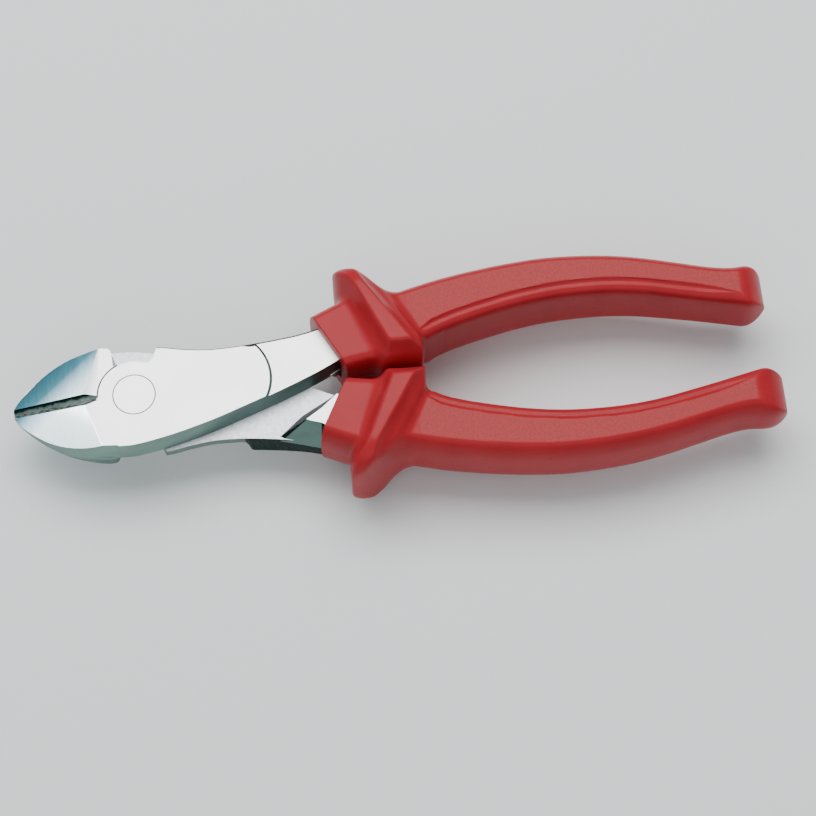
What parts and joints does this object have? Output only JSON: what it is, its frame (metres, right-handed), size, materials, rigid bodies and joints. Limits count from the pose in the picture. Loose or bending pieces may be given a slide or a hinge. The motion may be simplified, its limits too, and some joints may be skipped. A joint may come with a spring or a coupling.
{
  "type": "diagonal cutting pliers",
  "caption": "Diagonal cutting pliers with a riveted lap joint, ground steel jaws and red insulated grips with hand guards.",
  "frame": {"origin": "centre of the tool's footprint, on the plane of the guards' undersides", "axes": "+X from the jaws to the ends of the grips, +Y to the side of the upper grip, +Z out of the front face"},
  "size_m": [0.1832, 0.0534, 0.0286],
  "materials": {
    "forged_steel": "bead-blasted faces, ground jaw facets",
    "rivet_steel": "ground flush and bead-blasted",
    "insulation": "moulded, satin, fine texture on the flats"
  },
  "bodies": {
    "root": {"front_half": "forged_steel", "joint_rivet": "rivet_steel", "upper_grip": "insulation"},
    "rear": {"rear_half": "forged_steel", "lower_grip": "insulation"}
  },
  "joints": [
    {"name": "pivot", "type": "hinge", "parent": "root", "child": "rear", "pos_m": [-0.0624, 0, 0.0143], "axis": [0, 0, -1], "range_deg": [0, 45]}
  ]
}
